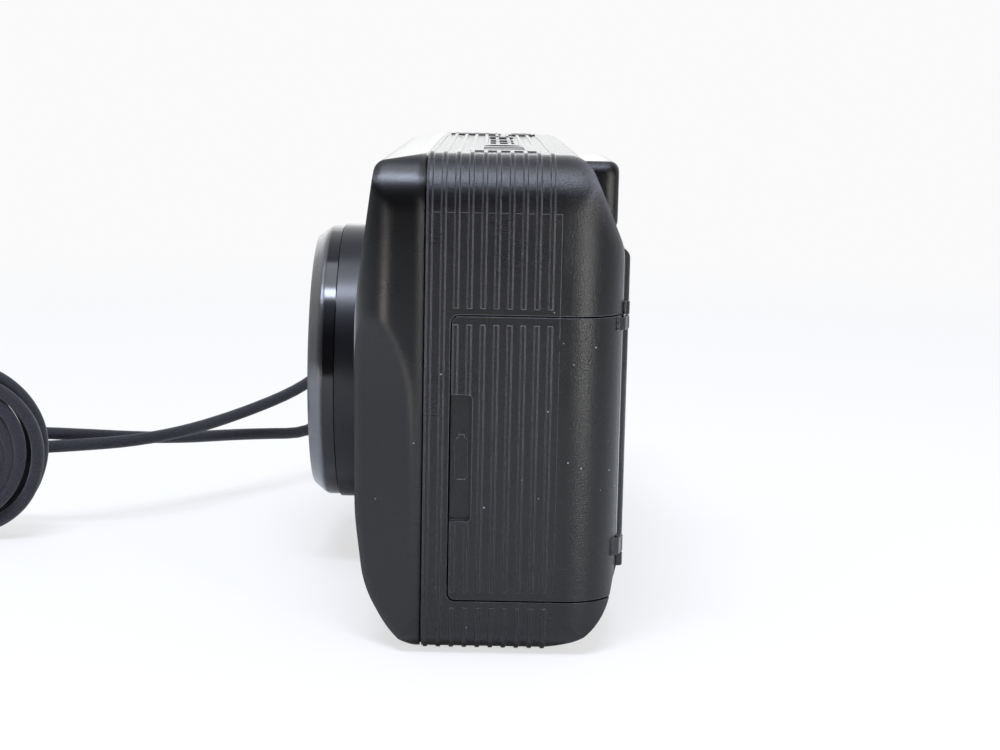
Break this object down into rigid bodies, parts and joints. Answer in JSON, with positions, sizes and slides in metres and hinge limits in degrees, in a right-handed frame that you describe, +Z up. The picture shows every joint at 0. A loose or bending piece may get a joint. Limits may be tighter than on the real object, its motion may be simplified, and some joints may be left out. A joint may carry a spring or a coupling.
{
  "type": "compact film camera",
  "caption": "Compact zoom film camera in ribbed black plastic, lens drawn in, with a side battery door and a knotted round neck cord.",
  "frame": {"origin": "mouth of the tripod socket, on the plane that the camera stands on, at half the body's width", "axes": "+Z up; -Y is the way the lens looks; +X is the user's left end, with the battery door"},
  "size_m": [0.1325, 0.1336, 0.074],
  "materials": {
    "rib_black": "satin, fine sparkle grain",
    "shell_black": "satin",
    "door_black": "satin",
    "collar_black": "fine matt",
    "gloss_black": "polished",
    "bezel_grey": "satin metallic",
    "inner_black": "matt",
    "button_black": "satin",
    "clear_glass": "polished",
    "tinted_pane": "polished",
    "lens_glass": "coated",
    "lamp_red": "polished",
    "steel": "brushed",
    "spring_steel": "bright",
    "contact_brass": "bright",
    "reflector_chrome": "polished",
    "gear_white": "satin",
    "cell_sleeve": "gloss",
    "capacitor_sleeve": "gloss",
    "board_green": "satin",
    "seal_foam": "matt",
    "display_grey": "gloss",
    "cord_fabric": "braided",
    "ferrule_black": "satin"
  },
  "bodies": {
    "camera": {"front_shell": "shell_black", "main_shell": "rib_black", "hinge_pins": "steel", "battery_holder": "inner_black", "battery_cell": "cell_sleeve", "electric_contacts": "contact_brass", "chassis": "inner_black", "light_seals": "seal_foam", "film_motor": "steel", "lens_collar": "collar_black", "lens_guide_rods": "steel", "viewfinder_tube": "inner_black", "viewfinder_window": "clear_glass", "flash_window": "clear_glass", "autofocus_window": "tinted_pane", "sensor_window": "clear_glass", "timer_lamp": "lamp_red", "flash_reflector": "reflector_chrome", "flash_tube": "clear_glass", "flash_capacitor": "capacitor_sleeve", "autofocus_module": "inner_black", "main_board": "board_green", "display_window": "display_grey", "eyepiece_frame": "shell_black", "eyepiece_glass": "clear_glass", "case_fittings": "steel", "strap_lug": "steel", "strap_loop": "cord_fabric", "strap_ferrule": "ferrule_black", "strap_run_upper": "cord_fabric", "strap_run_lower": "cord_fabric", "strap_bundle": "cord_fabric"},
    "battery_door_body": {"battery_door": "door_black"},
    "back_cover_body": {"back_cover": "shell_black", "film_window": "tinted_pane", "pressure_plate": "inner_black", "pressure_spring": "spring_steel"},
    "back_latch_body": {"back_latch": "button_black"},
    "barrel": {"barrel_tube": "inner_black", "barrel_ring": "gloss_black", "barrel_bezel": "bezel_grey", "front_cell": "inner_black", "front_lens_group": "lens_glass"},
    "carriage": {"lens_carriage": "inner_black", "rear_lens_group": "lens_glass", "shutter_unit": "steel"},
    "blade_upper": {"cover_blade_upper": "inner_black"},
    "blade_lower": {"cover_blade_lower": "inner_black"},
    "spool": {"take_up_spool": "inner_black"},
    "idler": {"idler_gear": "gear_white"},
    "pinion": {"motor_pinion": "contact_brass"},
    "fork": {"rewind_fork": "gear_white"},
    "shutter_key": {"shutter_button": "button_black"},
    "rocker": {"zoom_rocker": "button_black"},
    "function_key": {"function_button": "button_black"},
    "flash_key": {"flash_button": "button_black"},
    "timer_key": {"timer_button": "button_black"},
    "power_knob": {"power_slide": "button_black"},
    "rewind_key": {"rewind_button": "button_black"}
  },
  "joints": [
    {"name": "battery_door_hinge", "type": "hinge", "parent": "camera", "child": "battery_door_body", "pos_m": [0.0554, 0.02045, 0.0325], "axis": [0, 0, 1], "range_deg": [0, 100]},
    {"name": "back_cover_hinge", "type": "hinge", "parent": "camera", "child": "back_cover_body", "pos_m": [-0.0552, 0.0196, 0.0325], "axis": [0, 0, 1], "range_deg": [0, 110]},
    {"name": "back_latch_slide", "type": "slide", "parent": "back_cover_body", "child": "back_latch_body", "axis": [0, 0, 1], "range_m": [0, 0.003], "stiffness_N_per_m": 200},
    {"name": "barrel_slide", "type": "slide", "parent": "camera", "child": "barrel", "axis": [0, -1, 0], "range_m": [0, 0.011]},
    {"name": "carriage_slide", "type": "slide", "parent": "camera", "child": "carriage", "axis": [0, -1, 0], "range_m": [0, 0.006]},
    {"name": "blade_upper_hinge", "type": "hinge", "parent": "barrel", "child": "blade_upper", "pos_m": [0.0105, -0.0275, 0.0363], "axis": [0, 1, 0], "range_deg": [0, 46]},
    {"name": "blade_lower_hinge", "type": "hinge", "parent": "barrel", "child": "blade_lower", "pos_m": [-0.0165, -0.027, 0.0319], "axis": [0, 1, 0], "range_deg": [0, 46]},
    {"name": "spool_turn", "type": "hinge", "parent": "camera", "child": "spool", "pos_m": [-0.0335, 0.003, 0.03], "axis": [0, 0, 1], "continuous": true},
    {"name": "idler_turn", "type": "hinge", "parent": "camera", "child": "idler", "pos_m": [-0.04691, -0.00183, 0.005], "axis": [0, 0, 1], "continuous": true},
    {"name": "pinion_turn", "type": "hinge", "parent": "camera", "child": "pinion", "pos_m": [-0.0545, 0.003, 0.005], "axis": [0, 0, 1], "continuous": true},
    {"name": "fork_turn", "type": "hinge", "parent": "camera", "child": "fork", "pos_m": [0.0293, 0.0024, 0.058], "axis": [0, 0, 1], "continuous": true},
    {"name": "shutter_press", "type": "slide", "parent": "camera", "child": "shutter_key", "axis": [0, 0, -1], "range_m": [0, 0.0012], "stiffness_N_per_m": 500},
    {"name": "zoom_rock", "type": "hinge", "parent": "camera", "child": "rocker", "pos_m": [-0.044, 0.0065, 0.0702], "axis": [0, 1, 0], "range_deg": [-4, 4], "stiffness_Nm_per_rad": 0.02},
    {"name": "function_press", "type": "slide", "parent": "camera", "child": "function_key", "axis": [0, 0, -1], "range_m": [0, 0.0007], "stiffness_N_per_m": 500},
    {"name": "flash_press", "type": "slide", "parent": "camera", "child": "flash_key", "axis": [0, 0, -1], "range_m": [0, 0.0007], "stiffness_N_per_m": 500},
    {"name": "timer_press", "type": "slide", "parent": "camera", "child": "timer_key", "axis": [0, 0, -1], "range_m": [0, 0.0007], "stiffness_N_per_m": 500},
    {"name": "power_slide_joint", "type": "slide", "parent": "camera", "child": "power_knob", "axis": [-1, 0, 0], "range_m": [0, 0.004]},
    {"name": "rewind_press", "type": "slide", "parent": "camera", "child": "rewind_key", "axis": [0, 0, 1], "range_m": [0, 0.0006], "stiffness_N_per_m": 300}
  ],
  "couplings": [
    {"joint": "carriage_slide", "follows": "barrel_slide", "ratio": 0.54545},
    {"joint": "blade_upper_hinge", "follows": "barrel_slide", "rad_per_m": 72.986},
    {"joint": "blade_lower_hinge", "follows": "barrel_slide", "rad_per_m": 72.986},
    {"joint": "idler_turn", "follows": "spool_turn", "ratio": -1.7143},
    {"joint": "pinion_turn", "follows": "spool_turn", "ratio": 2.4}
  ]
}
